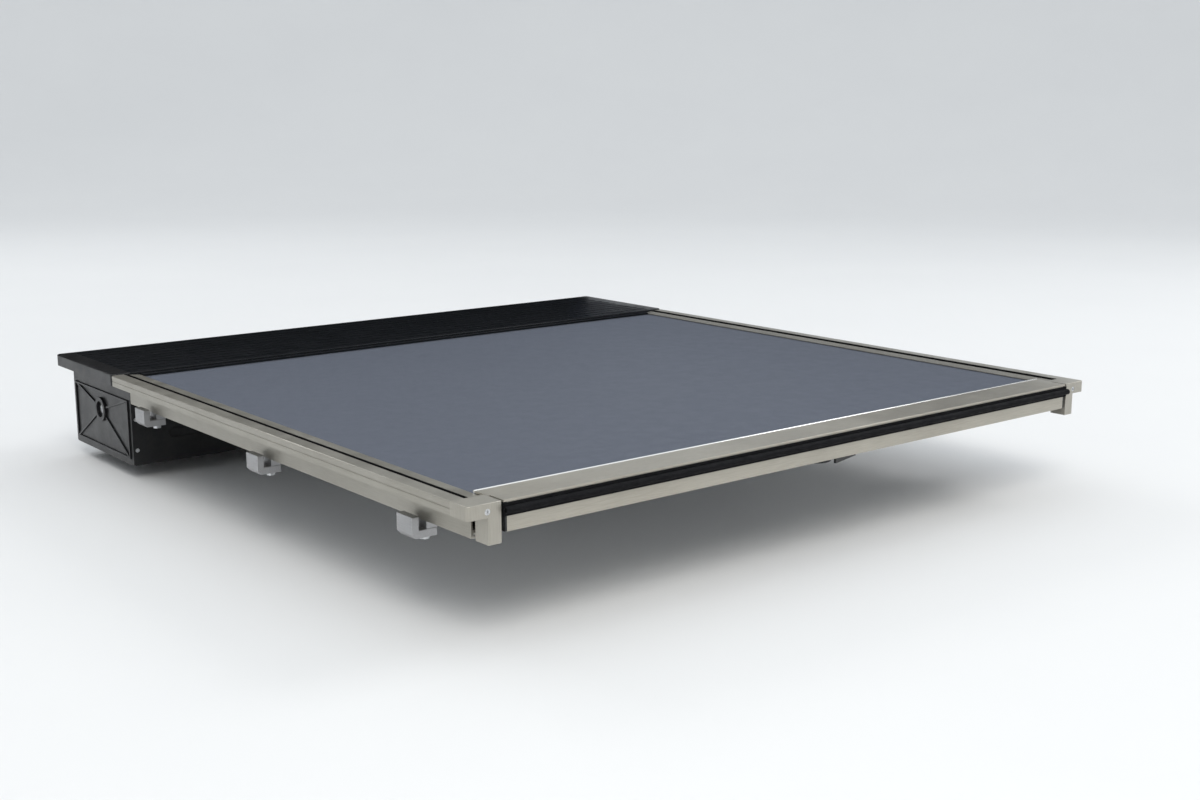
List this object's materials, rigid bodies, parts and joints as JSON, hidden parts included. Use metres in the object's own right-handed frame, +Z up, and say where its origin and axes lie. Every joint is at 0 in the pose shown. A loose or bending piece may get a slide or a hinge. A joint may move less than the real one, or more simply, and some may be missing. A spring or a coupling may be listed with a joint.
{
  "type": "tonneau cover",
  "caption": "Roll-up pickup bed cover: a slatted curtain under a vinyl skin runs in two side rails and winds onto a drum in a ribbed-lid canister.",
  "frame": {"origin": "centre of the plane on which the rails rest on the bed sides, midway between the lid's cab-side edge and the end bar's rear edge", "axes": "+X to the right seen from behind the truck, +Y forward to the cab, +Z up"},
  "size_m": [1.37, 1.475, 0.2065],
  "materials": {
    "rail_alloy": "satin anodised",
    "corner_alloy": "satin anodised casting",
    "glide_plastic": "low-friction strip",
    "seal_rubber": "matt",
    "zinc_steel": "zinc plated",
    "clamp_alloy": "mill finish",
    "black_sheet": "satin powder coat",
    "black_lid": "satin black powder coat",
    "black_casting": "semi-gloss black powder coat",
    "black_plastic": "moulded",
    "steel_rod": "ground",
    "mill_alloy": "mill finish",
    "curtain_vinyl": "grained vinyl, matt",
    "lever_paint": "satin powder coat"
  },
  "bodies": {
    "frame": {"rail_left": "rail_alloy", "rail_right": "rail_alloy", "rail_glide_left": "glide_plastic", "rail_glide_right": "glide_plastic", "rail_seal_left": "seal_rubber", "rail_seal_right": "seal_rubber", "rail_corner_left": "corner_alloy", "rail_corner_right": "corner_alloy", "corner_screws": "zinc_steel", "striker_plate_left": "zinc_steel", "striker_plate_right": "zinc_steel", "striker_screws": "zinc_steel", "clamp_bodies": "clamp_alloy", "clamp_jaws": "clamp_alloy", "clamp_bolts": "zinc_steel", "canister_floor": "black_sheet", "canister_rear_panel": "black_sheet", "canister_front_panel": "black_sheet", "canister_end_left": "black_casting", "canister_end_right": "black_casting", "canister_lid": "black_lid", "lid_screws": "zinc_steel", "tray_screws": "zinc_steel", "lid_edge_strip": "black_lid", "wiper_seal": "seal_rubber", "drain_nozzle_left": "black_plastic", "drain_nozzle_right": "black_plastic", "drain_nuts": "black_plastic", "drum_shaft": "steel_rod", "power_spring": "steel_rod", "roller_axle": "steel_rod", "feed_slats": "mill_alloy", "feed_skin": "curtain_vinyl", "curtain_slats": "mill_alloy", "curtain_skin": "curtain_vinyl"},
    "end_bar": {"end_bar": "rail_alloy", "tailgate_seal": "seal_rubber", "bar_end_cap_left": "black_plastic", "bar_end_cap_right": "black_plastic", "guide_shoe_left": "black_plastic", "guide_shoe_right": "black_plastic", "latch_housing_left": "black_plastic", "latch_housing_right": "black_plastic", "latch_spring_left": "steel_rod", "latch_spring_right": "steel_rod", "lever_pivot": "zinc_steel", "pivot_nut": "zinc_steel"},
    "drum": {"drum_tube": "mill_alloy", "drum_disc_left": "black_plastic", "drum_disc_right": "black_plastic", "drum_bush_left": "black_plastic", "drum_bush_right": "black_plastic", "wound_slats": "mill_alloy", "wound_skin": "curtain_vinyl"},
    "guide_roller": {"guide_roller": "mill_alloy"},
    "release_lever": {"release_lever": "lever_paint"},
    "latch_right": {"latch_bolt_right": "zinc_steel", "pull_rod_right": "zinc_steel"},
    "latch_left": {"latch_bolt_left": "zinc_steel", "pull_rod_left": "zinc_steel"}
  },
  "joints": [
    {"name": "curtain_slide", "type": "slide", "parent": "frame", "child": "end_bar", "axis": [0, 1, 0], "range_m": [0, 1.07], "deforming": ["curtain_slats", "curtain_skin"]},
    {"name": "drum_spin", "type": "hinge", "parent": "frame", "child": "drum", "pos_m": [0, 0.5895, -0.072], "axis": [-1, 0, 0], "range_deg": [0, 1100], "deforming": ["power_spring"]},
    {"name": "guide_roller_spin", "type": "hinge", "parent": "frame", "child": "guide_roller", "pos_m": [0, 0.47, -0.0088], "axis": [-1, 0, 0], "continuous": true},
    {"name": "lever_swing", "type": "hinge", "parent": "end_bar", "child": "release_lever", "pos_m": [0, -0.701, -0.027], "axis": [0, 0, -1], "range_deg": [0, 30]},
    {"name": "latch_right_slide", "type": "slide", "parent": "end_bar", "child": "latch_right", "axis": [-1, 0, 0], "range_m": [0, 0.0104], "stiffness_N_per_m": 800, "springref_m": -0.006, "deforming": ["latch_spring_right"]},
    {"name": "latch_left_slide", "type": "slide", "parent": "end_bar", "child": "latch_left", "axis": [1, 0, 0], "range_m": [0, 0.0104], "stiffness_N_per_m": 800, "springref_m": -0.006, "deforming": ["latch_spring_left"]}
  ],
  "couplings": [
    {"joint": "drum_spin", "follows": "curtain_slide", "rad_per_m": 17.87},
    {"joint": "guide_roller_spin", "follows": "curtain_slide", "rad_per_m": 80},
    {"joint": "latch_right_slide", "follows": "lever_swing", "m_per_rad": 0.019772},
    {"joint": "latch_left_slide", "follows": "lever_swing", "m_per_rad": 0.019772}
  ]
}
